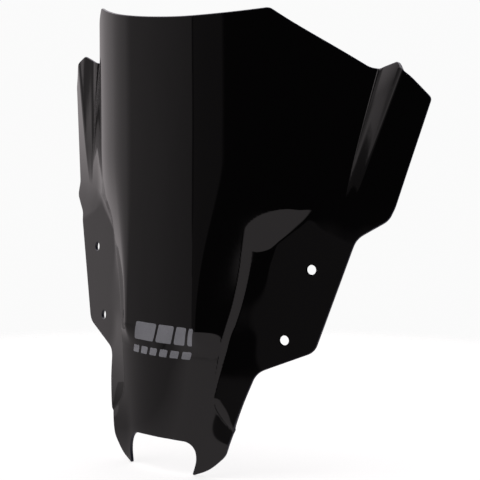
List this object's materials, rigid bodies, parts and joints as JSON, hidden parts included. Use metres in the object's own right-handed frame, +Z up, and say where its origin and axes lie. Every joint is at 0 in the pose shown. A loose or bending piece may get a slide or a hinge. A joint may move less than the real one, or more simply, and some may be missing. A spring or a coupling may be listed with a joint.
{
  "type": "motorcycle windshield screen",
  "caption": "Formed dark smoked acrylic wind screen with swept-back sides, outer wings with scoops, a notched nose and recessed flat pads with fixing holes",
  "frame": {"origin": "the centre of the four fixing holes, on the plane through the hole centres on the pads' front faces", "axes": "+X across the screen, +Y towards the rider, so the front looks along -Y, and +Z up"},
  "size_m": [0.4448, 0.1209, 0.4291],
  "materials": {
    "smoked_acrylic": "dark smoked clear acrylic, polished, almost black",
    "silver_vinyl": "thin cut vinyl, silver grey with a satin sheen"
  },
  "bodies": {
    "root": {"screen_shell": "smoked_acrylic", "mark_bar_1": "silver_vinyl", "mark_bar_2": "silver_vinyl", "mark_bar_3": "silver_vinyl", "mark_bar_4": "silver_vinyl", "mark_dash_1": "silver_vinyl", "mark_dash_2": "silver_vinyl", "mark_dash_3": "silver_vinyl", "mark_dash_4": "silver_vinyl", "mark_dash_5": "silver_vinyl", "mark_dash_6": "silver_vinyl"}
  },
  "joints": []
}
